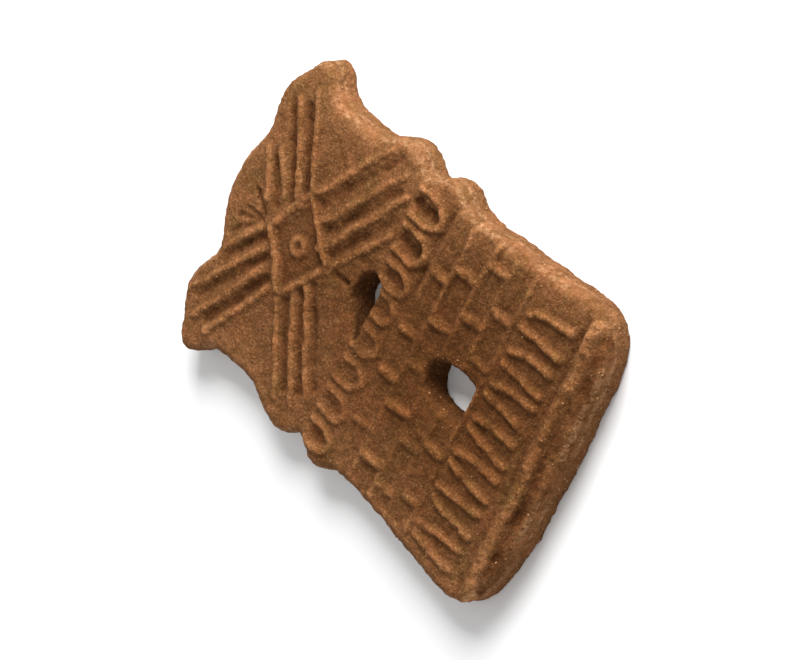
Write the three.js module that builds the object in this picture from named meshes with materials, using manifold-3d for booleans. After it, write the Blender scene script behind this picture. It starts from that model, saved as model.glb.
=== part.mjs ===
// A speculoos biscuit with the figure of a windmill, as a carved mould presses it into the dough.
// It lies flat with the pressed face up. Millimetres: +X is the mill's right, +Y is up the mill
// towards its cap and +Z comes out of the pressed face. Every place on the face is measured from the
// hub of the sails, and the finished biscuit is then moved so that the middle of its underside is
// the part's origin.
import * as THREE from 'three';
import { LoftGeometry } from 'three/addons/geometries/LoftGeometry.js';
import { mergeVertices } from 'three/addons/utils/BufferGeometryUtils.js';
import Module from 'manifold-3d';

const wasm = await Module();
wasm.setup();

// Driving sizes of the biscuit
const thickness = 7.4;
const shoulder = 2.2;
const shoulderSteps = 4;
const footInset = 0.5;
const footRise = 1.2;
const outlineSteps = 160;
const holeSteps = 38;
const unevenness = 0.12;

// Driving sizes of the pressed figure: a ridge stands up from the face and a groove is cut into it
const ridge = { width: 2.1, rise: 0.7 };
const groove = { width: 1.6, rise: -0.75 };
const fineGroove = { width: 1.2, rise: -0.45 };
const mortar = { width: 1.9, rise: 0.38 };
const brickEnd = { width: 2.8, rise: 0.55 };
const petalLimb = { width: 2.5, rise: 0.75 };
const lip = { width: 2.8, rise: 0.45 };
const dip = { width: 4.8, rise: -0.3 };
const scratch = { width: 1.0, rise: -0.45 };
const hollow = { width: 2.2, rise: -0.4 };
const strokeSides = 8;
const strokeSunk = 0.45;
const strokeEnd = [[0, 0.5], [0.6, 0.95]];
const sailPitch = THREE.MathUtils.degToRad(31);

// ---- the outline, clockwise from the middle of the cap, measured from the sails' hub ----

const capRight = [[0, 21.2], [6.4, 21.1], [10.6, 20.4], [14.6, 19.4]];
const upperSailTip = [[18.8, 19.8], [22.8, 20.2], [25.8, 19.2], [29.2, 17.2], [32.2, 15.9], [33.7, 13.9],
  [33.0, 11.9], [30.8, 9.6]];
const sideWeb = [[29.1, 6.9], [28.8, 1.6], [29.2, -4.2]];
const lowerSailTip = [[30.4, -6.8], [32.0, -10], [32.7, -13.2], [32.1, -15.8], [30.6, -17.8]];
const galleryEnd = [[29.6, -19.6], [31.3, -21.4], [32.6, -24], [32.7, -26.8], [31.5, -29]];
const tower = [[30.5, -31.4], [30.4, -36], [31, -42], [31.6, -48], [32.4, -54], [33.2, -60]];
const foot = [[33.7, -66], [32.7, -69.6], [29.3, -72.8], [24, -74.2], [14, -75.3], [0, -75.8]];
const rightSide = [...upperSailTip, ...sideWeb, ...lowerSailTip, ...galleryEnd, ...tower, ...foot];

// The left side mirrors the right one, but for a notch where the dough shrank beside the cap
const leftSide = rightSide.slice(0, -1).map(([x, y]) => [-x, y]).reverse();
const capLeft = [[-14.6, 17.9], [-11.9, 17.1], [-8.6, 18.3], [-4.6, 20.1]];

// Three slow waves push the edge of the baked dough in and out, so that no two stretches are alike
const wave = (turn) => Math.sin(9 * turn + 1) + Math.sin(17 * turn + 4) + 0.7 * Math.sin(29 * turn);

function biscuitOutline() {
  const corners = [...capRight, ...rightSide, ...leftSide, ...capLeft];
  const points = corners.map(([x, y]) => new THREE.Vector3(x, y, 0));
  const spaced = new THREE.CatmullRomCurve3(points, true).getSpacedPoints(outlineSteps);
  return spaced.slice(0, -1).reverse().map((point, i) => {
    const push = unevenness * wave((i / outlineSteps) * Math.PI * 2);
    return point.clone().addScaledVector(point.clone().normalize(), push);
  });
}

// A ring of points, given anticlockwise, moved inwards by an inset and up to a height
function ring(outline, inset, z) {
  const count = outline.length;
  return outline.map((point, i) => {
    const before = outline[(i + count - 1) % count];
    const after = outline[(i + 1) % count];
    const along = new THREE.Vector2(after.x - before.x, after.y - before.y).normalize();
    return new THREE.Vector3(point.x - along.y * inset, point.y + along.x * inset, z);
  });
}

const capped = (rings) => new LoftGeometry(rings, { capStart: true, capEnd: true });

// The slab spreads a little above its underside and rounds over into the face
function biscuitSlab() {
  const outline = biscuitOutline();
  const rings = [ring(outline, footInset, 0), ring(outline, 0, footRise)];
  for (let i = 0; i <= shoulderSteps; i += 1) {
    const turn = (i / shoulderSteps) * Math.PI / 2;
    rings.push(ring(outline, shoulder * (1 - Math.cos(turn)), thickness - shoulder * (1 - Math.sin(turn))));
  }
  return capped(rings);
}

// ---- strokes: rounded bars along a path on the face, raised or cut in ----

// A bar's middle lies under the face where it is raised and over the face where it cuts,
// so that its ends dip away. The points of its path are measured from the hub.
function stroke(points, { width, rise }) {
  const path = new THREE.SplineCurve(points.map(([x, y]) => new THREE.Vector2(x, y)));
  const blunt = Math.min(0.4, width / 2 / path.getLength());
  const start = strokeEnd.map(([share, size]) => [share * blunt, size]);
  const end = start.map(([along, size]) => [1 - along, size]).reverse();
  const bends = points.length > 2 ? 2 * points.length : 0;
  const middle = Array.from({ length: bends }, (_, i) => (
    [blunt + (1 - 2 * blunt) * (i + 1) / (bends + 1), 1]));
  const middleZ = thickness - Math.sign(rise) * strokeSunk;
  const sections = [...start, ...middle, ...end].map(([along, size]) => {
    const at = path.getPointAt(along);
    const tangent = path.getTangentAt(along);
    return Array.from({ length: strokeSides }, (_, i) => {
      const turn = (i / strokeSides) * Math.PI * 2;
      const across = Math.cos(turn) * size * width / 2;
      const up = Math.sin(turn) * size * (Math.abs(rise) + strokeSunk);
      return new THREE.Vector3(at.x - tangent.y * across, at.y + tangent.x * across, middleZ + up);
    });
  });
  return capped(sections);
}

// ---- the sails: four bundles of laths round the hub ----

// Both ends of each lath, along and across its sail, measured from the hub
const sails = [
  {
    turn: sailPitch,
    ridges: [[8.9, 7.9, 18.7, 7.6], [9.5, 3.6, 18.6, 4.6], [9.6, 0.1, 28.3, 0.1], [11.2, -3.6, 29.6, -4.6]],
    grooves: [[7.9, 5.7, 18.4, 6.0], [7.7, 1.6, 27.7, 2.1], [9.5, -1.8, 27, -2.2]],
  },
  {
    turn: -sailPitch,
    ridges: [[-3.6, 7.0, 30, 7.2], [6.8, 1.9, 31.4, 1.2], [4.9, -2.5, 29.8, -2.9], [-7.4, -6.3, 22.8, -7.7]],
    grooves: [[9.5, 4.7, 31, 4.6], [8.8, -0.3, 28.5, -0.8], [6.5, -4.5, 25, -5.3]],
  },
  {
    turn: Math.PI - sailPitch,
    ridges: [[6.7, -7.3, 17, -7.6], [8.2, -3.2, 28.6, -4.2], [10.1, 0.4, 30, 1.0], [10.1, 4.3, 28.6, 4.9]],
    grooves: [[6.3, -5.3, 16.8, -6.0], [8.2, -1.5, 27.2, -2.3], [9.9, 2.3, 27.5, 2.9]],
  },
  {
    turn: Math.PI + sailPitch,
    ridges: [[10.2, -4.5, 29, -4.7], [9.2, -0.7, 30, -0.4], [7.8, 2.7, 29, 3.4]],
    grooves: [[9.8, -2.5, 27, -2.6], [7.9, 1.0, 27.4, 1.5], [6.9, 4.3, 26.5, 5.3]],
  },
];

function laths(kind, style) {
  return sails.flatMap((sail) => sail[kind].map(([along0, across0, along1, across1]) => {
    const ends = [new THREE.Vector2(along0, across0), new THREE.Vector2(along1, across1)];
    return stroke(ends.map((end) => end.rotateAround(new THREE.Vector2(), sail.turn).toArray()), style);
  }));
}

// ---- the hub: a ring in a sunken panel, two of whose edges are laths ----

const panel = { left: [-9.6, -0.5], bottom: [0.6, -8.8], right: [9.6, 1.4], top: [-0.2, 7.9], depth: 0.6 };
const hubRing = [[0, -1.5], [2.7, -1.5], [2.5, -0.5], [2.2, 0], [1.6, 0.2], [1, 0], [0.6, -0.5], [0, -0.6]];
const hubSides = 20;

function hubPanel() {
  const corners = [panel.left, panel.bottom, panel.right, panel.top];
  const shape = new THREE.Shape(corners.map(([x, y]) => new THREE.Vector2(x, y)));
  const cut = new THREE.ExtrudeGeometry(shape, { depth: thickness, bevelEnabled: false });
  return cut.translate(0, 0, thickness - panel.depth);
}

function hubBoss() {
  const profile = hubRing.map(([radius, z]) => new THREE.Vector2(radius, z));
  return new THREE.LatheGeometry(profile, hubSides).rotateX(Math.PI / 2).translate(0, 0, thickness);
}

function panelEdges() {
  return [stroke([panel.left, panel.top], ridge), stroke([panel.right, panel.bottom], ridge)];
}

// ---- the cap: scratches that fan out from the top of the panel ----

// Each ray's direction in degrees, and how far it reaches
const fan = { x: -0.2, y: 8.9, inner: 1.2, rays: [[58, 6.6], [97, 5.6], [113, 8], [134, 10.4]] };

function capFan() {
  return fan.rays.map(([degrees, outer]) => {
    const turn = THREE.MathUtils.degToRad(degrees);
    const at = (radius) => [fan.x + radius * Math.cos(turn), fan.y + radius * Math.sin(turn)];
    return stroke([at(fan.inner), at(outer)], scratch);
  });
}

// ---- the gallery: a row of loops with hollow middles over a ledge ----

// Each loop's middle, the half of its width and the y of its open top
const loops = [
  [-27.2, 2.3, -21.6], [-19.9, 2.3, -21.6], [-12.6, 2.4, -21.6], [-4.9, 2.4, -21.6],
  [2.9, 2.3, -21.6], [9.3, 2.1, -20.6], [17, 2.8, -20.2], [25, 2.7, -20],
];
const loopBottom = -27.6;
const loopBend = -25.4;
const hollowInset = 0.6;
const ledge = { reach: 29.3, groove: -28.6, ridge: -29.9 };

function galleryLoop([x, halfWidth, top]) {
  const [left, right] = [x - halfWidth, x + halfWidth];
  return stroke([[left, top], [left, loopBend], [x, loopBottom], [right, loopBend], [right, top]], ridge);
}

const loopHollow = ([x, , top]) => stroke([[x, top - hollowInset], [x, loopBend]], hollow);

const across = (y, reach, style) => stroke([[-reach, y], [reach, y]], style);

// ---- the tower: courses of bricks, with the upright joints of each course ----

const courses = [
  { top: -29.9, joints: [-18.5, -6.8, 3.0, 16.4] },
  { top: -34.9, joints: [-22.8, -10.9, -1.5, 8.6, 20.1] },
  { top: -41.2, joints: [-25.5, -14.9, 13.8, 25.6] },
  { top: -46.6, joints: [-23.4, -12.1, 8.0, 18.7] },
];
const brickworkBottom = -52.2;
const brickworkReach = 29.6;
const jointInset = 0.5;
const jointLean = 0.4;

function brickwork() {
  const bottoms = [...courses.slice(1).map((course) => course.top), brickworkBottom];
  return courses.flatMap(({ joints }, i) => [
    across(bottoms[i], brickworkReach, mortar),
    ...joints.map((x) => (
      stroke([[x, courses[i].top - jointInset], [x + jointLean, bottoms[i] + jointInset]], brickEnd))),
  ]);
}

// ---- the foot: a row of petals over a groove and a plain plinth with a lip ----

// Each petal's x at its top and at its bottom
const petals = {
  top: -54.2,
  bend: -58.4,
  bottom: -65,
  bow: 0.65,
  places: [
    [-27.4, -28.8], [-25.4, -24], [-19.3, -20.5], [-16.9, -15.7], [-10.9, -12.2], [-8.7, -7.4], [-2.9, -4.4],
    [-0.8, 0.3], [5, 4.1], [7, 9], [11.8, 11.8], [15, 16.9], [20.4, 20.5], [23.4, 26.4],
  ],
};

// The plinth's lines climb a little from left to right: each one's y at its left and right ends
const plinth = { reach: 31, groove: [-69, -66.9], lip: [-70.9, -69.1], dip: [-73.3, -72.5] };

const climbing = ([left, right], style) => stroke([[-plinth.reach, left], [plinth.reach, right]], style);

function petal([topX, bottomX]) {
  const bendX = topX + (bottomX - topX) * petals.bow;
  return stroke([[topX, petals.top], [bendX, petals.bend], [bottomX, petals.bottom]], petalLimb);
}

// ---- the two holes right through the biscuit, with rounded rims ----

// How far a hole's edge flares, from just under the underside to well over the face
const rimProfile = [[0.5, -0.1], [0.15, 0.7], [0, 1.3], [0, thickness - 1.4], [0.2, thickness - 0.7],
  [0.6, thickness - 0.2], [1.1, thickness + 0.2], [1.2, thickness + 2]];

// Under the sails: left corner, top, right shoulder and right corner, each with its own rounding
const gap = [[-7.6, -21.5, 0.8], [1.4, -15.2, 2.6], [7.3, -17.5, 1.8], [7.1, -21.3, 1.6]];

function gapOutline() {
  const at = ([x, y]) => new THREE.Vector2(x, y);
  const path = new THREE.Path();
  gap.forEach((corner, i) => {
    const here = at(corner);
    const before = at(gap[(i + gap.length - 1) % gap.length]);
    const after = at(gap[(i + 1) % gap.length]);
    const enter = here.clone().add(before.sub(here).setLength(corner[2]));
    const leave = here.clone().add(after.sub(here).setLength(corner[2]));
    if (i) path.lineTo(enter.x, enter.y);
    else path.moveTo(enter.x, enter.y);
    path.quadraticCurveTo(here.x, here.y, leave.x, leave.y);
  });
  path.closePath();
  return path.getSpacedPoints(holeSteps).slice(0, -1).reverse();
}

const door = { middle: -0.5, halfWidth: 4.5, bottom: -51.1, spring: -44.4, arch: 5.2 };

function doorOutline() {
  const path = new THREE.Path();
  path.moveTo(door.middle - door.halfWidth, door.bottom);
  path.lineTo(door.middle + door.halfWidth, door.bottom);
  path.lineTo(door.middle + door.halfWidth, door.spring);
  path.absellipse(door.middle, door.spring, door.halfWidth, door.arch, 0, Math.PI);
  path.closePath();
  return path.getSpacedPoints(holeSteps).slice(0, -1);
}

const through = (outline) => capped(rimProfile.map(([flare, z]) => ring(outline, -flare, z)));

// ---- joining and cutting ----

const mergeWithin = 1e-4;

// Shared vertices are merged and the triangles that this closes up are dropped
function solidOf(geometry) {
  const bare = new THREE.BufferGeometry();
  bare.setAttribute('position', geometry.getAttribute('position'));
  bare.setIndex(geometry.getIndex());
  const merged = mergeVertices(bare, mergeWithin);
  const corners = merged.index.array;
  const whole = [];
  for (let i = 0; i < corners.length; i += 3) {
    const [a, b, c] = corners.slice(i, i + 3);
    if (a !== b && b !== c && c !== a) whole.push(a, b, c);
  }
  return new wasm.Manifold(new wasm.Mesh({
    numProp: 3,
    vertProperties: merged.attributes.position.array,
    triVerts: new Uint32Array(whole),
  }));
}

const joined = (geometries) => geometries.map(solidOf).reduce((whole, next) => whole.add(next));

function geometryOf(solid) {
  const mesh = solid.getMesh();
  const geometry = new THREE.BufferGeometry();
  geometry.setAttribute('position', new THREE.BufferAttribute(mesh.vertProperties, 3));
  geometry.setIndex(new THREE.BufferAttribute(mesh.triVerts, 1));
  geometry.computeVertexNormals();
  return geometry;
}

const cutIn = joined([
  hubPanel(),
  ...laths('grooves', groove),
  ...capFan(),
  ...loops.map(loopHollow),
  across(ledge.groove, ledge.reach, fineGroove),
  climbing(plinth.groove, fineGroove),
  climbing(plinth.dip, dip),
]);
const raised = joined([
  hubBoss(),
  ...panelEdges(),
  ...laths('ridges', ridge),
  ...loops.map(galleryLoop),
  across(ledge.ridge, ledge.reach, mortar),
  ...brickwork(),
  ...petals.places.map(petal),
  climbing(plinth.lip, lip),
]);
const holes = joined([through(gapOutline()), through(doorOutline())]);
const biscuit = solidOf(biscuitSlab()).subtract(cutIn).add(raised).subtract(holes);

// ---- the part ----

const bakedDough = new THREE.MeshStandardMaterial({ color: 0x9a6a40, roughness: 0.9, metalness: 0 });

const cookie = new THREE.Mesh(geometryOf(biscuit), bakedDough);
cookie.name = 'cookie';
cookie.geometry.computeBoundingBox();
const middle = cookie.geometry.boundingBox.getCenter(new THREE.Vector3());
cookie.position.set(-middle.x, -middle.y, 0);

const part = new THREE.Group();
part.add(cookie);

export default part;
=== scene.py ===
# The looks of a windmill biscuit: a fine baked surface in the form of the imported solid, its loose
# crumbs, a pale floor, soft daylight and the camera. Sizes on the biscuit are millimetres from the
# hub of the sails: x to the mill's right, y up the mill and z from the underside to the face.
import itertools
import math

import bpy
import numpy as np
from mathutils import Matrix, Vector, kdtree
from mathutils.geometry import delaunay_2d_cdt


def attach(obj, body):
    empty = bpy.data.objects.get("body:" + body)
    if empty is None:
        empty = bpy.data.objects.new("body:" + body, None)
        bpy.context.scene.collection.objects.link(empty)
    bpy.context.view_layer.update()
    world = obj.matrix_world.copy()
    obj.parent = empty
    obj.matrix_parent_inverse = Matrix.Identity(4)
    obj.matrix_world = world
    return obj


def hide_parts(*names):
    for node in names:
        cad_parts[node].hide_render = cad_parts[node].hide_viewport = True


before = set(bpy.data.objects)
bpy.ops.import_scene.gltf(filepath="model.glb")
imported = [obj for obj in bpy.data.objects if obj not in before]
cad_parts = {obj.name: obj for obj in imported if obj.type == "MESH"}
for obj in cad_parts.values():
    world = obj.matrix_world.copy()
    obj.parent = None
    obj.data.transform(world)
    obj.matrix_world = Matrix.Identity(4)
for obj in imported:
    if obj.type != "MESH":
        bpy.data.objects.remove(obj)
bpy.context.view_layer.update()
mm = 0.001
hair = 0.01  # a step too small to matter
chance = np.random.default_rng(31)
print("frame loaded")


def linear(red, green, blue):
    # a screen colour of 0 to 255 as the light values that a shader works in
    share = np.array([red, green, blue]) / 255
    return (*np.where(share < 0.04045, share / 12.92, ((share + 0.055) / 1.055) ** 2.4), 1.0)


# The random values of the grain, and the two numbers that pick one of them for each cell of space
grainTable = {"values": 4096, "step": 1009, "stir": 9176}


def grain(points, size, seed):
    # smooth random values from -1 to 1 over points in two or three directions
    place = points / size
    cell = np.floor(place).astype(np.int64)
    share = place - cell
    share = share * share * (3 - 2 * share)
    values = np.random.default_rng(seed).uniform(-1, 1, grainTable["values"])
    total = np.zeros(points.shape[:-1])
    for corner in itertools.product((0, 1), repeat=points.shape[-1]):
        weight = np.ones(points.shape[:-1])
        mixed = np.full(points.shape[:-1], seed, dtype=np.int64)
        for axis, step in enumerate(corner):
            weight = weight * (share[..., axis] if step else 1 - share[..., axis])
            mixed = (mixed * grainTable["step"] + cell[..., axis] + step) * grainTable["stir"] ^ mixed
        total += weight * values[(mixed ^ (mixed >> 13)) % grainTable["values"]]
    return total


# The dough's unevenness, in layers of grain: the size of each, its share and its seed
unevenness = {
    "waverAcross": [(5.5, 1, 3), (1.6, 0.6, 4)],
    "waverUp": [(5.5, 1, 5), (1.6, 0.6, 6)],
    "fading": [(2.8, 1, 7), (1.1, 0.8, 8)],
    "patches": [(6.5, 1, 17)],
    "wornBricks": [(9, 1, 9)],
    "lumps": [(5.2, 1, 11)],
    "grit": [(1.3, 1, 12), (0.65, 0.7, 13)],
    "edgeCrumble": [(2.3, 1, 14), (1.0, 0.8, 15), (0.55, 0.5, 16)],
}


def uneven(points, name):
    return sum(share * grain(points, size, seed) for size, share, seed in unevenness[name])


def smoothStep(low, high, value):
    share = np.clip((value - low) / (high - low), 0, 1)
    return share * share * (3 - 2 * share)


# What the biscuit is made to: the slab first, then what is pressed into its face
slab = {
    "hub": (0.026, 27.218),  # the sails' hub, from the middle of the part
    "thickness": 7.4,
    "shoulder": 2.2,  # how far in from the edge the face begins to round over
    "rimShoulder": 1.2,  # the same round the two holes
    "footInset": 0.5,
    "footRise": 1.2,
    "footSteps": 4,
    "wallRows": 14,
    "edgePitch": 0.3,
    "finePitch": 0.06,  # of the lines that distances to the edge are measured from
    "cornerWear": 9,
    "facePitch": 0.306,
    "faceMargin": 1.12,
    "bandInsets": [0.1, 0.24, 0.42, 0.66, 0.94],  # the rows of points that follow each edge on the face
    "undersidePitch": 1.6,
    "undersideMargin": 0.8,
    "lumps": 0.09,
    "grit": 0.12,
    "edgeCrumble": 0.17,
}

strokes = {  # width and height; what is cut in has a height below nothing
    "ridge": (2.35, 0.75),
    "groove": (2.7, -0.55),
    "deepGroove": (2.7, -0.7),
    "fineGroove": (1.9, -0.38),
    "mortar": (2.2, 0.4),
    "brickEnd": (2.9, 0.74),
    "scratch": (1.5, -0.5),
    "line": (1.3, -0.32),
    "hollow": (3.0, -0.5),
    "limb": (2.4, 0.72),
    "petal": (2.45, 0.95),
    "toe": (2.85, 1.02),
    "knob": (2.8, 0.85),
    "lip": (3.5, 0.75),
    "dip": (5.8, -0.6),
}

relief = {
    "mapLow": (-38, -79),
    "mapHigh": (38, 23),
    "mapPitch": 0.15,
    "sunk": 0.45,  # how far down into the slab a ridge's section goes on
    "roundTop": 0.65,  # a ridge's section: 0.5 is half round, and more slopes more softly
    "roundCut": 1.4,  # the same for a groove
    "soften": 0.2,
    "waver": 0.26,  # how far a stroke strays from its line
    "fading": 0.36,  # how much a stroke's height comes and goes along it
    "patchEdge": 0.35,  # how softly a worn patch begins
    "creaseReach": 1.1,  # how far round a place its height is compared, to find creases and crests
    "dellReach": 3.2,  # the same for broad hollows
}
mapX, mapY = np.meshgrid(*[np.arange(low, high, relief["mapPitch"])
                           for low, high in zip(relief["mapLow"], relief["mapHigh"])])
mapPoints = np.stack([mapX, mapY], -1)
wavering = np.stack([uneven(mapPoints, "waverAcross"), uneven(mapPoints, "waverUp")], -1)
wavering = mapPoints + relief["waver"] * wavering
fading = 1 + relief["fading"] * uneven(mapPoints, "fading")
patches = smoothStep(-relief["patchEdge"], relief["patchEdge"], uneven(mapPoints, "patches"))
untouched = -9.0  # where nothing is raised
farAway = 99.0
raised = np.full(mapX.shape, untouched)
cutIn = np.zeros(mapX.shape)


def curved(points, steps=7):
    # points along a smooth line through the given ones
    if len(points) == 2:
        return np.array(points, dtype=float)
    given = np.array([points[0], *points, points[-1]], dtype=float)
    shares = np.arange(steps)[:, None] / steps
    line = [catmullRom(given[i:i + 4], shares) for i in range(len(points) - 1)]
    return np.vstack([*line, given[-1:]])


def catmullRom(four, share):
    before, here, there, after = four
    return here + 0.5 * share * (there - before + share * (
        2 * before - 5 * here + 4 * there - after + share * (3 * (here - there) + after - before)))


def distanceFrom(path, places):
    # how far each place is from the nearest stretch of the path
    least = np.full(places.shape[:-1], farAway)
    for start, end in zip(path, path[1:]):
        run = end - start
        share = np.clip(((places - start) @ run) / (run @ run), 0, 1)
        least = np.minimum(least, np.linalg.norm(places - start - share[..., None] * run, axis=-1))
    return least


def press(points, style, strength=1.0, patchy=0.0):
    # one rounded stroke into the map of the face, raised or cut in, and worn away in patches
    width, rise = strokes[style]
    path = curved(points)
    low = ((path.min(0) - width - mapPoints[0, 0]) / relief["mapPitch"]).astype(int)
    high = ((path.max(0) + width - mapPoints[0, 0]) / relief["mapPitch"]).astype(int) + 1
    window = (slice(max(low[1], 0), high[1]), slice(max(low[0], 0), high[0]))
    reach = distanceFrom(path, wavering[window]) / (width / 2)
    dome = np.clip(1 - reach ** 2, 0, 1)
    height = abs(rise) * strength * fading[window] * (1 - patchy * patches[window])
    if rise > 0:
        height = (height + relief["sunk"]) * dome ** relief["roundTop"] - relief["sunk"]
        raised[window] = np.where(reach < 1, np.maximum(raised[window], height), raised[window])
    else:
        cutIn[window] = np.maximum(cutIn[window], height * dome ** relief["roundCut"])


def pressLines(lines):
    for style, strength, patchy, line in lines:
        press(line, style, strength, patchy)


# The sails: both ends of each lath, along and across its sail
sailPitch = 31
lathStrength = 0.78
sails = [
    {
        "turn": sailPitch,
        "ridge": [(8.9, 7.9, 18.7, 7.6), (9.5, 3.6, 18.6, 4.6), (9.6, 0.1, 28.3, 0.1),
                  (11.2, -3.6, 29.6, -4.6)],
        "groove": [(7.9, 5.7, 18.4, 6.0), (9.5, -1.8, 27, -2.2)],
        "deepGroove": [(7.7, 1.6, 27.7, 2.1)],
        "knob": [(28.2, 0.1, 28.4, 0.1), (29.4, -4.6, 29.7, -4.7)],
    },
    {
        "turn": -sailPitch,
        "ridge": [(-3.6, 7.0, 30, 7.2), (6.8, 1.9, 31.4, 1.2), (4.9, -2.5, 29.8, -2.9),
                  (-7.4, -6.3, 22.8, -7.7)],
        "groove": [(9.5, 4.7, 31, 4.6), (8.8, -0.3, 28.5, -0.8), (6.5, -4.5, 25, -5.3)],
    },
    {
        "turn": 180 - sailPitch,
        "ridge": [(6.7, -7.3, 17, -7.6), (8.2, -3.2, 28.6, -4.2), (10.1, 0.4, 30, 1.0),
                  (10.1, 4.3, 28.6, 4.9)],
        "groove": [(6.3, -5.3, 16.8, -6.0), (8.2, -1.5, 27.2, -2.3), (9.9, 2.3, 27.5, 2.9)],
    },
    {
        "turn": 180 + sailPitch,
        "ridge": [(10.2, -4.5, 29, -4.7), (9.2, -0.7, 30, -0.4), (7.8, 2.7, 29, 3.4)],
        "groove": [(9.8, -2.5, 27, -2.6), (7.9, 1.0, 27.4, 1.5), (6.9, 4.3, 26.5, 5.3)],
    },
]
for sail in sails:
    turn = math.radians(sail["turn"])
    along = np.array([math.cos(turn), math.sin(turn)])
    across = np.array([-along[1], along[0]])
    for style in ("ridge", "groove", "deepGroove", "knob"):
        for along0, across0, along1, across1 in sail.get(style, []):
            ends = [along0 * along + across0 * across, along1 * along + across1 * across]
            press(ends, style, lathStrength)

# The hub: a ring in a sunken panel
panel = {
    "left": (-9.6, -0.5),
    "bottom": (0.6, -8.8),
    "right": (9.6, 1.4),
    "top": (-0.2, 7.9),
    "depth": 0.42,
    "wall": 1.5,
}
hubRing = {"radius": 1.5, "tube": 0.98, "rise": 0.3, "dimple": 0.85}
corners = np.array([panel["left"], panel["bottom"], panel["right"], panel["top"]])
inside = np.full(mapX.shape, farAway)
for start, end in zip(corners, np.roll(corners, -1, axis=0)):
    run = (end - start) / np.linalg.norm(end - start)
    inside = np.minimum(inside, (wavering - start) @ np.array([-run[1], run[0]]))
cutIn = np.maximum(cutIn, panel["depth"] * smoothStep(0, panel["wall"], inside))
press([panel["left"], panel["top"]], "ridge")
press([panel["right"], panel["bottom"]], "ridge")
fromHub = np.linalg.norm(wavering, axis=-1)
ringDome = np.sqrt(np.clip(1 - ((fromHub - hubRing["radius"]) / hubRing["tube"]) ** 2, 0, 1))
ringTop = (hubRing["rise"] + panel["depth"]) * ringDome - panel["depth"]
ringTop = np.where(ringDome > 0, ringTop, untouched)
dimpled = np.maximum(ringTop, -hubRing["dimple"])
raised = np.maximum(raised, np.where(fromHub < hubRing["radius"], dimpled, ringTop))

# The cap: scratches that fan out from the top of the panel, each with its direction and reach, and
# a crack from the panel down to the gap
fan = {"middle": (-0.2, 8.9), "inner": 1.2, "rays": [(58, 6.6), (97, 5.6), (113, 8), (134, 10.4)]}
crack = {"line": [(1.6, -10.6), (1.5, -14.2)], "strength": 1.3}
for degrees, outer in fan["rays"]:
    ray = np.array([math.cos(math.radians(degrees)), math.sin(math.radians(degrees))])
    press([fan["middle"] + fan["inner"] * ray, fan["middle"] + outer * ray], "scratch")
press(crack["line"], "scratch", crack["strength"])

# The gallery: a row of hollow loops over a ledge. Each loop has its middle, the half of its width,
# its open top, and how boldly its limb and its hollow are pressed.
loops = {
    "bottom": -27.6,
    "bend": -25.4,
    "inset": 0.6,
    "places": [
        (-27.2, 2.3, -21.6, 0.8, 0.5), (-19.9, 2.3, -21.6, 0.75, 0.4), (-12.6, 2.4, -21.6, 0.7, 0.4),
        (-4.9, 2.4, -21.6, 0.65, 0.35), (2.9, 2.3, -21.6, 0.75, 0.35), (9.3, 2.1, -20.6, 1.1, 0.6),
        (17, 2.8, -20.2, 1.25, 1.0), (25, 2.7, -20, 1.3, 1.35),
    ],
}
ledge = [  # each line's stroke, its strength and how far it is worn away in patches
    ("fineGroove", 0.8, 0.95,
     [(-29.3, -28.8), (-18, -28.3), (-8, -28.9), (1, -28.4), (9, -29), (19, -28.2), (29.3, -28.9)]),
    ("mortar", 0.6, 0.9,
     [(-29.3, -30.1), (-15, -29.6), (-2, -30.2), (11, -30.1), (20, -29.6), (29.3, -30.3)]),
]
for middle, halfWidth, top, bold, deep in loops["places"]:
    left, right = middle - halfWidth, middle + halfWidth
    limb = [(left, top), (left, loops["bend"]), (middle, loops["bottom"]), (right, loops["bend"]),
            (right, top)]
    press(limb, "limb", bold)
    press([(middle, top - loops["inset"]), (middle, loops["bend"])], "hollow", deep)
pressLines(ledge)

# The tower: courses of bricks with mortar between them
bricks = {
    "courses": [  # the top of each course and its upright joints; the last one is the bottom of them all
        (-29.9, [-18.5, -6.8, 3.0, 16.4]),
        (-34.9, [-22.8, -10.9, -1.5, 8.6, 20.1]),
        (-41.2, [-25.5, -14.9, 13.8, 25.6]),
        (-46.6, [-23.4, -12.1, 8.0, 18.7]),
        (-52.2, []),
    ],
    "reach": 29.8,
    "lines": [(-40.0, 15), (-42.2, 19), (-46.2, 4), (-49.4, 19), (-51.2, 21)],  # height and left end
    "lineOver": 1.5,  # how far a fine line runs on past the bricks, and how much it drops
    "lineDrop": 0.3,
    "jointGap": 0.5,  # between an upright joint and the mortar over and under it
    "jointLean": 0.4,
    "mortarStrength": 1.15,
    "mortarPatchy": 0.4,
    "depth": 0.16,  # how much lower the brickwork lies than the plain face
    "fadeUp": 2.2,  # over how many millimetres the brickwork sinks in from the plain face
    "fadeAcross": 1.5,
    "worn": 0.6,  # how much flatter the brickwork is in patches
    "wornEdge": 0.7,
}
below = bricks["courses"][0][0] - wavering[..., 1]
above = wavering[..., 1] - bricks["courses"][-1][0]
brickField = smoothStep(0, bricks["fadeUp"], np.minimum(below, above))
brickField *= smoothStep(0, bricks["fadeAcross"], bricks["reach"] - np.abs(wavering[..., 0]))
cutIn = np.maximum(cutIn, bricks["depth"] * brickField)
wornAway = smoothStep(0, bricks["wornEdge"], uneven(mapPoints, "wornBricks"))
fading *= 1 - bricks["worn"] * brickField * wornAway
for height, start in bricks["lines"]:
    press([(start, height), (bricks["reach"] + bricks["lineOver"], height - bricks["lineDrop"])], "line")
for (top, joints), (bottom, _) in zip(bricks["courses"], bricks["courses"][1:]):
    press([(-bricks["reach"], bottom), (bricks["reach"], bottom)], "mortar",
          bricks["mortarStrength"], bricks["mortarPatchy"])
    for joint in joints:
        press([(joint, top - bricks["jointGap"]), (joint + bricks["jointLean"], bottom + bricks["jointGap"])],
              "brickEnd")

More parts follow.
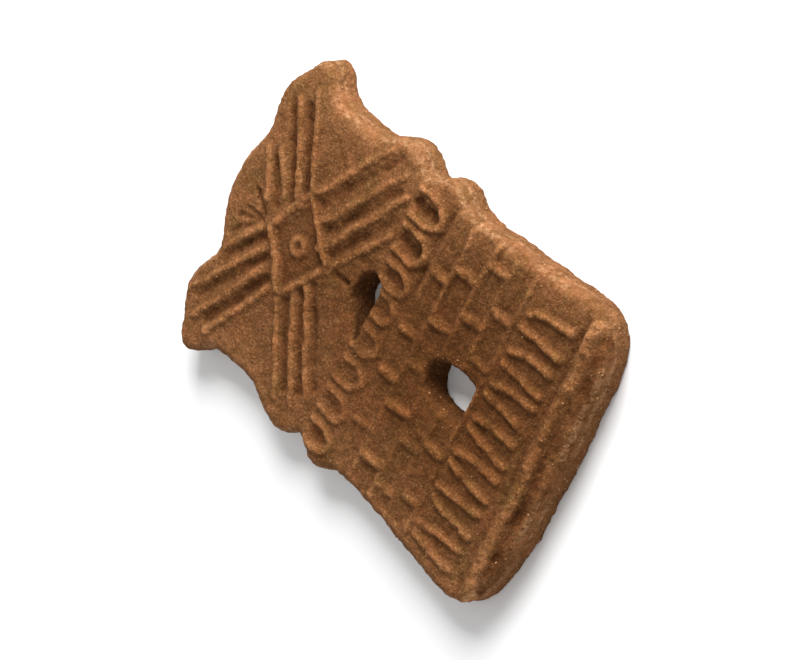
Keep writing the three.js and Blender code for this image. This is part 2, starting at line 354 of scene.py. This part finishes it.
# The foot: petals, each with its x at the top and at the bottom and its strength, over a plain
# plinth with a groove, a lip and a dip, which climb a little from left to right
petals = {
    "top": -54.2,
    "bend": -58.4,
    "bottom": -65.0,
    "bow": 0.65,
    "toe": 1.4,
    "places": [
        (-27.4, -28.8, 0.7), (-25.4, -24, 0.75), (-19.3, -20.5, 0.7), (-16.9, -15.7, 0.8),
        (-10.9, -12.2, 0.85), (-8.7, -7.4, 0.8), (-2.9, -4.4, 0.85), (-0.8, 0.3, 0.9), (5, 4.1, 0.75),
        (7, 9, 0.95), (11.8, 11.8, 0.8), (15, 16.9, 0.85), (20.4, 20.5, 1.15), (23.4, 26.4, 1.15),
    ],
}
plinth = [
    ("fineGroove", 0.7, 0.3,
     [(-31, -69), (-20, -68), (-8, -68.5), (4, -67.5), (15, -67.9), (24, -67), (31, -66.9)]),
    ("dip", 1.25, 0.3, [(-31, -73.3), (0, -73), (31, -72.5)]),
    ("lip", 0.75, 0.3, [(-31, -70.9), (-17, -70.2), (-5, -70.5), (9, -69.7), (20, -69.8), (31, -69)]),
    ("lip", 1.15, 0.3, [(6, -70), (12, -69.6), (17, -69.7)]),
    ("lip", 1.35, 0.3, [(25.5, -69.4), (31, -69)]),
]
for topX, bottomX, bold in petals["places"]:
    bendX = topX + (bottomX - topX) * petals["bow"]
    press([(topX, petals["top"]), (bendX, petals["bend"]), (bottomX, petals["bottom"])], "petal", bold)
    press([(bottomX, petals["bottom"] + petals["toe"]), (bottomX, petals["bottom"])], "toe", bold)
pressLines(plinth)


def blurred(values, sigma):
    # a soft average over about sigma millimetres, along the rows and then along the columns
    reach = int(3 * sigma / relief["mapPitch"]) + 1
    steps = np.arange(-reach, reach + 1) * relief["mapPitch"]
    weights = np.exp(-0.5 * (steps / sigma) ** 2)
    weights /= weights.sum()
    for axis in (0, 1):
        values = np.apply_along_axis(np.convolve, axis, values, weights, mode="same")
    return values


faceMap = np.where(raised > untouched, np.maximum(-cutIn, raised), -cutIn)
faceMap = blurred(faceMap, relief["soften"])
# how far each place lies below the soft average round it, which the material turns into painted shade in
# creases and hollows and a painted highlight on crests
creaseMap = blurred(faceMap, relief["creaseReach"]) - faceMap
dellMap = blurred(faceMap, relief["dellReach"]) - faceMap
print("face pressed")


def sampled(values, points):
    # the map's value under each point, which is kept just inside the map's last cell
    place = (points - mapPoints[0, 0]) / relief["mapPitch"]
    place = np.clip(place, 0, np.array(mapX.shape[::-1]) - 1.001)
    column, row = place.astype(int).T
    along, up = (place - place.astype(int)).T
    lower = values[row, column] * (1 - along) + values[row, column + 1] * along
    upper = values[row + 1, column] * (1 - along) + values[row + 1, column + 1] * along
    return lower * (1 - up) + upper * up


def undersideLoops(node, flatBelow=0.02):
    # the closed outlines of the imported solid's flat underside, the biscuit's own edge first
    corners = np.array([vertex.co[:] for vertex in node.data.vertices]) / mm
    keys = [tuple(corner) for corner in np.round(corners[:, :2], 2)]
    flat = [face.vertices for face in node.data.polygons
            if all(corners[v][2] < flatBelow for v in face.vertices)]
    sides = {(keys[a], keys[b]) for face in flat for a, b in zip(face, [*face[1:], face[0]])}
    following = {a: b for a, b in sides if (b, a) not in sides}
    found = []
    while following:
        start, here = following.popitem()
        loop = [start]
        while here != start:
            loop.append(here)
            here = following.pop(here)
        loop = np.array(loop) - slab["hub"]
        found.append(loop if signedArea(loop) > 0 else loop[::-1])
    return sorted(found, key=signedArea, reverse=True)


def signedArea(loop):
    x, y = np.array(loop).T
    return 0.5 * float(np.sum(x * np.roll(y, -1) - y * np.roll(x, -1)))


def evenly(loop, pitch, steps=12):
    # the same closed line, smooth and with a point about every pitch
    count = len(loop)
    shares = np.arange(steps)[:, None] / steps
    fours = [[(i + k) % count for k in (-1, 0, 1, 2)] for i in range(count)]
    fine = np.vstack([catmullRom(loop[four], shares) for four in fours])
    lengths = np.linalg.norm(np.roll(fine, -1, axis=0) - fine, axis=1)
    walked = np.concatenate([[0], np.cumsum(lengths)])
    wanted = np.linspace(0, walked[-1], int(walked[-1] / pitch), endpoint=False)
    closed = np.vstack([fine, fine[:1]])
    return np.stack([np.interp(wanted, walked, closed[:, axis]) for axis in (0, 1)], -1)


def rounded(loop, passes):
    # the closed line with its sharp corners worn round
    for _ in range(passes):
        loop = (np.roll(loop, 1, axis=0) + 2 * loop + np.roll(loop, -1, axis=0)) / 4
    return loop


def shifted(loop, inset):
    # a closed anticlockwise line moved inwards
    tangent = np.roll(loop, -2, axis=0) - np.roll(loop, 2, axis=0)
    tangent /= np.linalg.norm(tangent, axis=1)[:, None]
    return loop + inset * np.stack([-tangent[:, 1], tangent[:, 0]], -1)


def insideLoop(points, loop):
    # whether each point is within a closed line, by the crossings to its right
    within = np.zeros(len(points), dtype=bool)
    for start, end in zip(loop, np.roll(loop, -1, axis=0)):
        spans = (start[1] > points[:, 1]) != (end[1] > points[:, 1])
        rise = end[1] - start[1] or 1e-9  # a level side is never crossed, so any small rise will do
        meets = start[0] + (points[:, 1] - start[1]) / rise * (end[0] - start[0])
        within ^= spans & (points[:, 0] < meets)
    return within


def edgeTree(loopList):
    tree = kdtree.KDTree(sum(len(loop) for loop in loopList))
    for index, point in enumerate(np.vstack(loopList)):
        tree.insert((*point, 0), index)
    tree.balance()
    return tree


def nearest(tree, points):
    # the distance to the tree's nearest point, and which point that is
    hits = [tree.find((x, y, 0)) for x, y in points]
    return np.array([hit[2] for hit in hits]), np.array([hit[1] for hit in hits])


def scattered(low, high, pitch, rowShare=0.87, jitter=0.16):
    # points in staggered rows over a rectangle, each a little out of its place
    columns = np.arange(low[0], high[0], pitch)
    rows = np.arange(low[1], high[1], pitch * rowShare)
    places = np.array([(x + (i % 2) * pitch / 2, y) for i, y in enumerate(rows) for x in columns])
    return places + pitch * jitter * chance.uniform(-1, 1, (len(places), 2))


def filled(loopList, pitch, margin, extra):
    # triangles over the area between the biscuit's edge and its holes. The loops' own points come
    # first, then the extra ones, then rows of points that stay a margin away from the loops.
    places = scattered(loopList[0].min(0), loopList[0].max(0), pitch)
    places = places[insideLoop(places, loopList[0][::2])]  # half of the edge's points will do here
    for hole in loopList[1:]:
        places = places[~insideLoop(places, hole)]
    distance, _ = nearest(edgeTree(loopList), places)
    points = np.vstack([*loopList, *extra, places[distance > margin]])
    edges, first = [], 0
    for loop in loopList:
        edges += [(first + i, first + (i + 1) % len(loop)) for i in range(len(loop))]
        first += len(loop)
    made = delaunay_2d_cdt([Vector(point) for point in points.tolist()], edges, [], 0, 1e-6)
    order = np.array([origin[0] for origin in made[3]])
    faces = order[np.array(made[2])]
    onEdges = np.flatnonzero((faces < first).all(axis=1))
    middles = points[faces[onEdges]].mean(axis=1)
    outside = ~insideLoop(middles, loopList[0])
    for hole in loopList[1:]:
        outside |= insideLoop(middles, hole)
    return points, np.delete(faces, onEdges[outside], axis=0)


def strips(rows):
    # triangles between each row of points and the one below it, all rows closed and equally long
    count = len(rows[0])
    here = np.arange(count)
    after = (here + 1) % count
    triangles = []
    for row in range(len(rows) - 1):
        upper, lower = row * count, (row + 1) * count
        triangles.append(np.stack([upper + here, lower + here, lower + after], -1))
        triangles.append(np.stack([upper + here, lower + after, upper + after], -1))
    return np.vstack(rows), np.vstack(triangles)


def upright(loop, way, shoulder):
    # the wall from the face's shoulder down to the rounded foot
    heights = np.linspace(slab["thickness"] - shoulder, slab["footRise"], slab["wallRows"])
    profile = [(0, z) for z in heights]
    for step in range(1, slab["footSteps"] + 1):
        turn = step / slab["footSteps"] * math.pi / 2
        profile.append((slab["footInset"] * (1 - math.cos(turn)), slab["footRise"] * (1 - math.sin(turn))))
    rows = [np.column_stack([shifted(loop, way * inset), np.full(len(loop), z)]) for inset, z in profile]
    places, triangles = strips(rows)
    return places, triangles if way > 0 else triangles[:, ::-1]


# The biscuit's slab: its face, the walls of the edge and of both holes, and the underside
solidLoops = undersideLoops(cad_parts["cookie"])
footLoops = [rounded(evenly(loop, slab["edgePitch"]), slab["cornerWear"]) for loop in solidLoops]
holeCount = len(footLoops) - 1
inwards = [1] + [-1] * holeCount  # which way the dough lies from each loop
shoulders = [slab["shoulder"]] + [slab["rimShoulder"]] * holeCount
edgeLoops = [shifted(loop, -way * slab["footInset"]) for loop, way in zip(footLoops, inwards)]
print("outline of", len(footLoops[0]), "points and", holeCount, "holes")

bandInsets = slab["bandInsets"]
bands = [shifted(loop, way * inset) for loop, way in zip(edgeLoops, inwards) for inset in bandInsets]
facePlan, faceTriangles = filled(edgeLoops, slab["facePitch"], slab["faceMargin"], bands)
edgeCount = sum(len(loop) for loop in edgeLoops)
bandCount = sum(len(band) for band in bands)
fineLoops = [evenly(loop, slab["finePitch"]) for loop in edgeLoops]
inset, closest = nearest(edgeTree(fineLoops), facePlan)
inset[:edgeCount] = 0
inset[edgeCount:edgeCount + bandCount] = np.repeat(
    np.tile(bandInsets, len(edgeLoops)), [len(band) for band in bands])
faceShoulder = np.where(closest < len(fineLoops[0]), slab["shoulder"], slab["rimShoulder"])
rounding = 1 - np.clip(1 - inset / faceShoulder, 0, 1) ** 2
faceHeight = slab["thickness"] - faceShoulder * (1 - np.sqrt(rounding))
faceHeight = faceHeight + sampled(faceMap, facePlan) * rounding ** 2
pieces = [(np.column_stack([facePlan, faceHeight]), faceTriangles)]

pieces += [upright(loop, way, shoulder) for loop, way, shoulder in zip(edgeLoops, inwards, shoulders)]
undersideEdges = [shifted(loop, way * slab["footInset"]) for loop, way in zip(edgeLoops, inwards)]
undersidePlan, undersideTriangles = filled(
    undersideEdges, slab["undersidePitch"], slab["undersideMargin"], [])
underside = np.column_stack([undersidePlan, np.zeros(len(undersidePlan))])
pieces.append((underside, undersideTriangles[:, ::-1]))

firsts = np.cumsum([0] + [len(places) for places, _ in pieces])
points = np.vstack([places for places, _ in pieces])
triangles = np.vstack([faces + first for (_, faces), first in zip(pieces, firsts)])
_, single, merged = np.unique(np.round(points, 4), axis=0, return_index=True, return_inverse=True)
points, triangles = points[single], merged.reshape(-1)[triangles]


def meshObject(name, places, faces):
    # a smooth piece from places in millimetres from the hub
    mesh = bpy.data.meshes.new(name)
    mesh.from_pydata(((places + (*slab["hub"], 0)) * mm).tolist(), [], faces.tolist())
    mesh.shade_smooth()
    piece = bpy.data.objects.new(name, mesh)
    bpy.context.scene.collection.objects.link(piece)
    return piece


def normalsOf(piece):
    values = np.empty(len(piece.data.vertices) * 3)
    piece.data.vertex_normals.foreach_get("vector", values)
    return values.reshape(-1, 3)


# How the crust's crumbling, the painted highlight of the rim and the darkening of the middle, partly painted
# shade, change from the edge to the middle, kept on the mesh for the material
crustAndPaintedLight = {
    "crumbleReach": 1.3,  # over how many millimetres in from an edge the crumbling fades
    "rimReach": 2.6,  # the same for the painted highlight along the outline's rim
    "rimFrom": 1.5,  # the height on the wall where the rim begins to lighten with its painted highlight
    "rimLeast": 0.4,
    "inlandReach": 9,
    "inlandShare": 0.35,  # of the darkening, partly painted shade, away from the edge; the rest is round the tower's middle
    "middle": (0, -47),
    "middleReach": (26, 37),
}
wallTop = slab["thickness"] - slab["shoulder"]
onFace = points[:, 2] > wallTop - hair
under = points[:, 2] < hair
edgeReach, closest = nearest(edgeTree(edgeLoops), points[:, :2])
outerReach, _ = nearest(edgeTree(edgeLoops[:1]), points[:, :2])
onHoles = closest >= len(edgeLoops[0])
edgeness = np.where(onFace, np.exp(-edgeReach / crustAndPaintedLight["crumbleReach"]), 1.0)
edgeness[under] = 0
# the rim's painted highlight: along the outline on the face, and growing up the walls towards the shoulder
rimOnWall = crustAndPaintedLight["rimLeast"] + (1 - crustAndPaintedLight["rimLeast"]) * smoothStep(crustAndPaintedLight["rimFrom"], wallTop, points[:, 2])
rim = np.where(onFace | onHoles, np.exp(-outerReach / crustAndPaintedLight["rimReach"]), rimOnWall)
# darker away from the outline and round the tower's middle, partly painted shade
farIn = np.where(onFace, 1 - np.exp(-outerReach / crustAndPaintedLight["inlandReach"]), onHoles)
fromMiddle = np.linalg.norm((points[:, :2] - crustAndPaintedLight["middle"]) / crustAndPaintedLight["middleReach"], axis=1)
inland = crustAndPaintedLight["inlandShare"] * farIn + (1 - crustAndPaintedLight["inlandShare"]) * np.exp(-fromMiddle ** 2)

biscuit = meshObject("speculoosCookie", points, triangles)
push = slab["lumps"] * uneven(points, "lumps") + slab["grit"] * uneven(points, "grit")
push += slab["edgeCrumble"] * edgeness * uneven(points, "edgeCrumble")
push[under] = 0
points = points + normalsOf(biscuit) * push[:, None]
points[:, 2] = np.maximum(points[:, 2], 0)
biscuit.data.vertices.foreach_set("co", ((points + (*slab["hub"], 0)) * mm).ravel())
biscuit.data.update()
# the values behind the painted shade in creases and hollows, the painted rim highlight and the partly painted
# darkening of the middle
crustAndPaintedLightValues = {
    "crease": sampled(creaseMap, points[:, :2]) * onFace,
    "dell": sampled(dellMap, points[:, :2]) * onFace,
    "rim": rim,
    "inland": inland,
}
for name, values in crustAndPaintedLightValues.items():
    attribute = biscuit.data.attributes.new(name, "FLOAT", "POINT")
    attribute.data.foreach_set("value", values.astype(np.float32))
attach(biscuit, "root")
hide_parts("cookie")
print("biscuit of", len(triangles), "triangles")


class Shade:
    # a socket of a material's nodes: arithmetic on it adds Math nodes, and node() adds any other
    def __init__(self, tree, socket=None):
        self.tree = tree
        self.socket = socket

    def node(self, kind, settings=None, inputs=None, output=0):
        made = self.tree.nodes.new("ShaderNode" + kind)
        for name, value in (settings or {}).items():
            setattr(made, name, value)
        feed(made, inputs or {})
        return Shade(self.tree, made.outputs[output])

    def math(self, operation, first, second):
        return self.node("Math", {"operation": operation}, {0: first, 1: second})

    def __add__(self, other):
        return self.math("ADD", self, other)

    def __radd__(self, other):
        return self.math("ADD", other, self)

    def __sub__(self, other):
        return self.math("SUBTRACT", self, other)

    def __rsub__(self, other):
        return self.math("SUBTRACT", other, self)

    def __mul__(self, other):
        return self.math("MULTIPLY", self, other)

    def __rmul__(self, other):
        return self.math("MULTIPLY", other, self)

    def between(self, low, high, share=1.0):
        # 0 up to low and the given share from high
        inputs = {0: self, 1: low, 2: high, 4: share}
        return self.node("MapRange", {"interpolation_type": "SMOOTHSTEP"}, inputs)

    def noise(self, size, detail, roughness):
        # soft noise from 0 to 1 with lumps of about that size in millimetres, at this place
        inputs = {"Vector": self, "Scale": 1 / (size * mm), "Detail": detail, "Roughness": roughness}
        return self.node("TexNoise", None, inputs)

    def mixed(self, first, second, blend="MIX"):
        # from the first colour to the second by this share
        return self.node("Mix", {"data_type": "RGBA", "blend_type": blend}, {0: self, 6: first, 7: second}, 2)


def feed(node, sockets):
    # a node's sockets, from plain values and from other nodes
    for name, value in sockets.items():
        if isinstance(value, Shade):
            value.tree.links.new(value.socket, node.inputs[name])
        else:
            node.inputs[name].default_value = value


def newMaterial(name):
    material = bpy.data.materials.new(name)
    material.use_nodes = True
    return material, Shade(material.node_tree), material.node_tree.nodes["Principled BSDF"]


# The biscuit's colours, the painted highlights and painted shade that multiply them, and its gloss, patterns
# and bumps
surface = {
    "dough": linear(121, 80, 48),
    "browned": linear(92, 57, 26),
    "reddened": linear(127, 80, 48),
    "olive": linear(104, 74, 38),
    "pale": linear(172, 129, 88),
    "crumb": linear(200, 158, 118),
    "spice": linear(48, 26, 9),
    "rimHighlight": (1.42, 1.48, 1.62, 1.0),  # painted highlights on the rim and crests, painted shade in creases and hollows, and a darker middle that is partly painted shade: what these places make of the dough's own colour
    "crestHighlight": (1.6, 1.64, 1.74, 1.0),
    "creaseShade": (0.66, 0.58, 0.5, 1.0),
    "dellShade": (0.56, 0.47, 0.35, 1.0),
    "middleShade": (0.52, 0.43, 0.28, 1.0),
    "roughness": 0.95,
    "specular": 0.12,
    "mottleMiddle": 0.45,
    "mottleGain": 3,
    "paleShare": 0.46,
    "paleLostAtRim": 0.26,  # how much less of the pale grain shows on the smoother rim
    "textures": {  # the size of each pattern in the crust, its detail and its roughness
        "mottle": (2.4, 4, 0.62),
        "fine": (0.5, 3, 0.7),
        "pits": (1.3, 3, 0.6),
        "dust": (0.24, 2, 0.5),
        "reddened": (7, 2, 0.5),
        "olive": (5, 3, 0.6),
        "blotches": (16, 3, 0.5),
        "crumbs": (0.8, 2, 0.5),
        "spice": (0.9, 1, 0.4),
        "raggedRim": (1.8, 3, 0.6),
        "brokenRim": (9, 2, 0.5),
        "rimCrumbs": (0.9, 4, 0.65),
    },
    "spans": {  # where each thing begins, where it is full, and the share that it has there
        "reddened": (0.42, 0.66, 1),
        "olive": (0.5, 0.68, 0.7),
        "blotches": (0.35, 0.68, 0.4),
        "crumbs": (0.69, 0.78, 0.4),
        "spice": (0.24, 0.2, 0.6),
        "raggedRim": (0.25, 0.6, 1),
        "brokenRim": (0.44, 0.56, 1),
        "rimCrumbs": (0.4, 0.62, 0.3),
        "paleGrain": (0.5, 0.7, 1),
        "darkGrain": (0.5, 0.34, 0.55),
        "rimInnerSide": (0.62, 0.76, 1),
        "rimOuterSide": (0.99, 0.9, 1),
        "crest": (0.04, 0.36, 1),
        "crease": (0.02, 0.5, 0.6),
        "dell": (0.04, 0.68, 1),
    },
    "bumps": {"pits": 1.1, "fine": 0.85, "dust": 0.3},  # how much each pattern adds to the height
    "bumpDepth": 0.42,
}
doughWithPaintedLight, shade, shader = newMaterial("doughWithPaintedLight")
place = shade.node("TexCoord", output=3)


def meshValue(name):
    # a value that the mesh keeps at its points
    return shade.node("Attribute", {"attribute_name": name}, output=2)


def texture(name):
    return place.noise(*surface["textures"][name])


def within(value, name):
    return value.between(*surface["spans"][name])


def spread(name):
    return within(texture(name), name)


crease, dell, rimShare, inlandShare = [meshValue(name) for name in ("crease", "dell", "rim", "inland")]
fine = texture("fine")
browning = spread("blotches") + (texture("mottle") - surface["mottleMiddle"]) * surface["mottleGain"]
paleShare = surface["paleShare"] - rimShare * surface["paleLostAtRim"]
paleGrain = within(fine, "paleGrain") * paleShare
rimLine = within(rimShare, "rimInnerSide") * within(rimShare, "rimOuterSide")
colour = spread("reddened").mixed(surface["dough"], surface["reddened"])
colour = spread("olive").mixed(colour, surface["olive"])
colour = browning.mixed(colour, surface["browned"])
colour = paleGrain.mixed(colour, surface["pale"])
colour = within(fine, "darkGrain").mixed(colour, surface["browned"])
colour = spread("crumbs").mixed(colour, surface["crumb"])
colour = spread("spice").mixed(colour, surface["spice"])
# a painted highlight along the outline's rim and up its walls
colour = (rimShare * spread("raggedRim")).mixed(colour, surface["rimHighlight"], "MULTIPLY")
# a darker middle, away from the edge and round the tower, partly painted shade
colour = inlandShare.mixed(colour, surface["middleShade"], "MULTIPLY")
colour = (rimLine * spread("brokenRim") * spread("rimCrumbs")).mixed(colour, surface["crumb"])
# a painted highlight on the crests, and painted shade in the creases and broad hollows
colour = within(0 - crease, "crest").mixed(colour, surface["crestHighlight"], "MULTIPLY")
colour = within(crease, "crease").mixed(colour, surface["creaseShade"], "MULTIPLY")
colour = within(dell, "dell").mixed(colour, surface["dellShade"], "MULTIPLY")
bumps = surface["bumps"]
height = texture("pits") * bumps["pits"] + fine * bumps["fine"] + texture("dust") * bumps["dust"]
bump = shade.node("Bump", None, {"Strength": 1.0, "Distance": surface["bumpDepth"] * mm, "Height": height})
feed(shader, {
    "Base Color": colour,
    "Roughness": surface["roughness"],
    "Specular IOR Level": surface["specular"],
    "Normal": bump,
})
biscuit.data.materials.append(doughWithPaintedLight)
print("biscuit baked")

# Loose crumbs that cling to the edges, most of them towards the foot, and a few on the face
crumbs = {
    "count": 600,
    "small": 0.1,  # from the middle of a crumb to its skin
    "large": 0.32,
    "onFace": 0.02,  # how likely a crumb is on the open face, where it is 1 at an edge
    "above": 0.8,  # the lowest place on the wall that a crumb clings to
    "atCap": 0.12,  # how likely one is from fewFrom up, where it is 1.12 from mostFrom down
    "fewFrom": -10,
    "mostFrom": -60,
    "anyTurn": 6.3,
    "dents": (0.6, 1.1),
    "stretch": (0.7, 1.2),
    "pattern": (1.2, 2, 0.5),
    "span": (0.35, 0.65),
    "roughness": 0.9,
    "specular": 0.25,
}
looseCrumb, shade, shader = newMaterial("looseCrumb")
crumbPattern = shade.node("TexCoord", output=3).noise(*crumbs["pattern"]).between(*crumbs["span"])
feed(shader, {
    "Base Color": crumbPattern.mixed(surface["dough"], surface["pale"]),
    "Roughness": crumbs["roughness"],
    "Specular IOR Level": crumbs["specular"],
})

# A ball of twenty triangles, which each crumb dents and stretches in its own way
golden = (1 + math.sqrt(5)) / 2
ball = [(x, y, 0) for x in (-1, 1) for y in (-golden, golden)]
ball = np.array([np.roll(corner, turn) for turn in range(3) for corner in ball]) / math.hypot(1, golden)
sideLength = 2 / math.hypot(1, golden) + hair
ballFaces = [
    three for three in itertools.combinations(range(len(ball)), 3)
    if all(np.linalg.norm(ball[a] - ball[b]) < sideLength for a, b in itertools.combinations(three, 2))]
ballFaces = np.array([
    three if np.linalg.det(ball[list(three)]) > 0 else three[::-1] for three in ballFaces])

clinging = np.clip(edgeness, crumbs["onFace"], 1)
clinging *= crumbs["atCap"] + smoothStep(crumbs["fewFrom"], crumbs["mostFrom"], points[:, 1])
clinging *= points[:, 2] > crumbs["above"]
spots = chance.choice(len(points), crumbs["count"], replace=False, p=clinging / clinging.sum())
places, faces = [], []
for index, spot in enumerate(spots):
    size = crumbs["small"] + (crumbs["large"] - crumbs["small"]) * chance.random() ** 3
    turned = Matrix.Rotation(chance.uniform(0, crumbs["anyTurn"]), 3, Vector(chance.normal(size=3)))
    lump = ball @ np.array(turned) * chance.uniform(*crumbs["dents"], (len(ball), 1))
    places.append(points[spot] + lump * size * chance.uniform(*crumbs["stretch"], 3))
    faces.append(ballFaces + index * len(ball))
crumbPiece = meshObject("crumbs", np.vstack(places), np.vstack(faces))
crumbPiece.data.materials.append(looseCrumb)
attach(crumbPiece, "root")
print("crumbs scattered")

# A pale floor under soft daylight from the mill's right
studio = {
    "floor": 0.88,
    "floorSize": 6,
    "floorRoughness": 0.9,
    "floorSpecular": 0.1,
    "sky": 0.52,
    "key": {"towards": (0.84, 0.24, 0.52), "reach": 0.5, "size": 0.3, "power": 5.3},
    "fill": {"towards": (-0.2, -0.7, 0.7), "reach": 1.1, "size": 0.9, "power": 1.35},
}
paleFloor, shade, shader = newMaterial("paleFloor")
feed(shader, {
    "Base Color": (studio["floor"],) * 3 + (1.0,),
    "Roughness": studio["floorRoughness"],
    "Specular IOR Level": studio["floorSpecular"],
})
bpy.ops.mesh.primitive_plane_add(size=studio["floorSize"], location=(0, 0, 0))
floor = bpy.context.object
floor.name = "floor"
floor.data.materials.append(paleFloor)

world = bpy.data.worlds.new("daylight")
bpy.context.scene.world = world
world.use_nodes = True
feed(world.node_tree.nodes["Background"], {"Color": (1.0, 1.0, 1.0, 1.0), "Strength": studio["sky"]})


def softLamp(name):
    sizes = studio[name]
    lamp = bpy.data.lights.new(name + "Lamp", "AREA")
    lamp.size = sizes["size"]
    lamp.energy = sizes["power"]
    holder = bpy.data.objects.new(name + "Lamp", lamp)
    bpy.context.scene.collection.objects.link(holder)
    away = Vector(sizes["towards"]).normalized()
    holder.location = away * sizes["reach"]
    holder.rotation_euler = away.to_track_quat("Z", "Y").to_euler()


softLamp("key")
softLamp("fill")

# The camera looks down on the face from the mill's lower right, turned as the photograph is
view = {
    "towards": (0.410, -0.515, 0.753),
    "up": (0.8103, 0.5844, -0.0417),
    "aim": (0.0, 0.0, 0.0035),
    "distance": 1.8,
    "width": 0.152,
    "sensor": 36,
    "farthest": 20,
}
back = Vector(view["towards"]).normalized()
side = Vector(view["up"]).cross(back).normalized()
lens = bpy.data.cameras.new("camera")
lens.sensor_width = view["sensor"]
lens.lens = lens.sensor_width * view["distance"] / view["width"]
lens.clip_end = view["farthest"]
camera = bpy.data.objects.new("camera", lens)
bpy.context.scene.collection.objects.link(camera)
turned = Matrix((side, back.cross(side), back)).transposed().to_4x4()
camera.matrix_world = Matrix.Translation(Vector(view["aim"]) + back * view["distance"]) @ turned
bpy.context.scene.camera = camera
bpy.context.scene.view_settings.view_transform = "Standard"
print("lit and framed")
